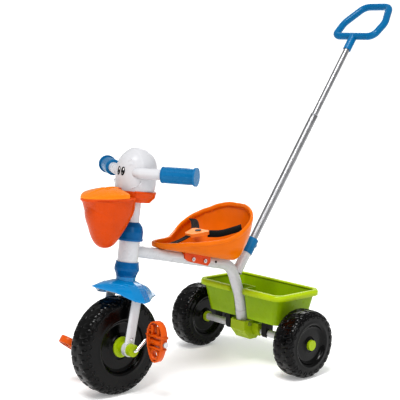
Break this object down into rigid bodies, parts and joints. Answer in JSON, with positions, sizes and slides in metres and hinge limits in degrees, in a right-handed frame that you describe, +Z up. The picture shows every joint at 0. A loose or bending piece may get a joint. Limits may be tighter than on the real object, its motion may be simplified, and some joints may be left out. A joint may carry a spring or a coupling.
{
  "type": "children's tricycle",
  "caption": "Pedal tricycle for a small child: bucket seat with harness, steered front wheel with pedals, animal-head handlebar with beak basket, rear tub and push rod.",
  "frame": {"origin": "bottom centre of the tricycle's bounding box, on the floor", "axes": "+Z up, -Y forward, +X the rider's left"},
  "size_m": [0.4586, 1.0998, 0.9917],
  "materials": {
    "white_paint": "gloss powder coat",
    "white_plastic": "semi-gloss moulded",
    "white_bush": "matte",
    "blue_plastic": "semi-gloss moulded",
    "light_blue_plastic": "semi-gloss moulded",
    "orange_seat": "semi-gloss moulded",
    "deep_orange": "semi-gloss moulded",
    "orange_lid": "semi-gloss moulded",
    "orange_pedal": "semi-gloss moulded",
    "peach_plastic": "satin",
    "black_webbing": "woven webbing",
    "black_plastic": "satin moulded",
    "eye_print": "printed",
    "lime_plastic": "semi-gloss moulded",
    "lime_tub": "semi-gloss moulded",
    "zinc_steel": "zinc plated",
    "chrome_rod": "polished",
    "polished_tube": "polished",
    "grey_bush": "matte"
  },
  "bodies": {
    "frame": {"main_frame": "white_paint", "upper_head_bush": "white_bush", "lower_head_bush": "white_bush", "seat_saddle": "deep_orange", "seat_screws": "zinc_steel", "seat_shell": "orange_seat", "harness_strap_left": "black_webbing", "harness_strap_right": "black_webbing", "crotch_strap": "black_webbing", "harness_shield": "peach_plastic", "harness_anchor": "blue_plastic", "push_socket_collar": "blue_plastic", "axle_tube": "white_paint", "axle_rod": "zinc_steel", "axle_collar_left": "lime_plastic", "axle_collar_right": "lime_plastic", "axle_bracket": "lime_plastic", "bracket_bolt": "zinc_steel", "bracket_nut": "zinc_steel", "rear_washers": "zinc_steel", "rear_wheel_cap_left": "lime_plastic", "rear_wheel_cap_right": "lime_plastic"},
    "steering": {"fork": "white_paint", "fork_screws": "zinc_steel", "hub_bush_left": "lime_plastic", "hub_bush_right": "lime_plastic", "mudguard": "light_blue_plastic", "lower_collar": "blue_plastic", "upper_collar": "blue_plastic", "collar_bolt": "zinc_steel", "handlebar": "white_plastic", "grip_left": "blue_plastic", "grip_right": "blue_plastic", "head_front_shell": "white_plastic", "head_rear_shell": "white_plastic", "eyes": "eye_print", "basket": "deep_orange", "lid_hinge_pin": "zinc_steel"},
    "front_wheel": {"front_wheel": "black_plastic", "hub_spool_left": "lime_plastic", "hub_spool_right": "lime_plastic", "crank_axle": "chrome_rod", "pedal_end_caps": "zinc_steel"},
    "pedal_left": {"pedal_left": "orange_pedal"},
    "pedal_right": {"pedal_right": "orange_pedal"},
    "beak_lid": {"basket_lid": "orange_lid"},
    "rear_wheel_left": {"rear_wheel_left": "black_plastic", "rear_hub_left": "lime_plastic"},
    "rear_wheel_right": {"rear_wheel_right": "black_plastic", "rear_hub_right": "lime_plastic"},
    "tub": {"tub": "lime_tub", "tub_clip_left": "black_plastic", "tub_clip_right": "black_plastic"},
    "push_rod": {"push_rod_lower": "polished_tube", "push_rod_bush": "grey_bush"},
    "push_rod_upper": {"push_rod_upper": "polished_tube", "push_handle": "blue_plastic"},
    "release_button": {"rod_release_button": "blue_plastic"},
    "harness_button": {"harness_button": "black_plastic"}
  },
  "joints": [
    {"name": "steering_turn", "type": "hinge", "parent": "frame", "child": "steering", "pos_m": [0, -0.39525, 0.345], "axis": [0, 0.1045, 0.9945], "range_deg": [-45, 45]},
    {"name": "front_wheel_spin", "type": "hinge", "parent": "steering", "child": "front_wheel", "pos_m": [0, -0.4299, 0.12], "axis": [1, 0, 0], "continuous": true},
    {"name": "pedal_left_spin", "type": "hinge", "parent": "front_wheel", "child": "pedal_left", "pos_m": [0.11, -0.3979, 0.146], "axis": [1, 0, 0], "continuous": true},
    {"name": "pedal_right_spin", "type": "hinge", "parent": "front_wheel", "child": "pedal_right", "pos_m": [-0.11, -0.4619, 0.094], "axis": [1, 0, 0], "continuous": true},
    {"name": "beak_lid_hinge", "type": "hinge", "parent": "steering", "child": "beak_lid", "pos_m": [0, -0.4344, 0.503], "axis": [-1, 0, 0], "range_deg": [0, 70]},
    {"name": "rear_wheel_left_spin", "type": "hinge", "parent": "frame", "child": "rear_wheel_left", "pos_m": [0.1953, 0.0401, 0.089], "axis": [1, 0, 0], "continuous": true},
    {"name": "rear_wheel_right_spin", "type": "hinge", "parent": "frame", "child": "rear_wheel_right", "pos_m": [-0.1953, 0.0401, 0.089], "axis": [1, 0, 0], "continuous": true},
    {"name": "tub_tip", "type": "hinge", "parent": "frame", "child": "tub", "pos_m": [0, 0.0401, 0.089], "axis": [-1, 0, 0], "range_deg": [0, 45]},
    {"name": "push_rod_slide", "type": "slide", "parent": "frame", "child": "push_rod", "axis": [0, 0.5743, 0.8187], "range_m": [0, 0.1]},
    {"name": "handle_telescope", "type": "slide", "parent": "push_rod", "child": "push_rod_upper", "axis": [0, 0.5743, 0.8187], "range_m": [-0.18, 0]},
    {"name": "rod_release_press", "type": "slide", "parent": "frame", "child": "release_button", "axis": [0, -0.8187, 0.5743], "range_m": [0, 0.002], "stiffness_N_per_m": 600, "springref_m": -0.001},
    {"name": "harness_button_press", "type": "slide", "parent": "frame", "child": "harness_button", "axis": [0, 0.1392, -0.9903], "range_m": [0, 0.0015], "stiffness_N_per_m": 600, "springref_m": -0.001}
  ]
}
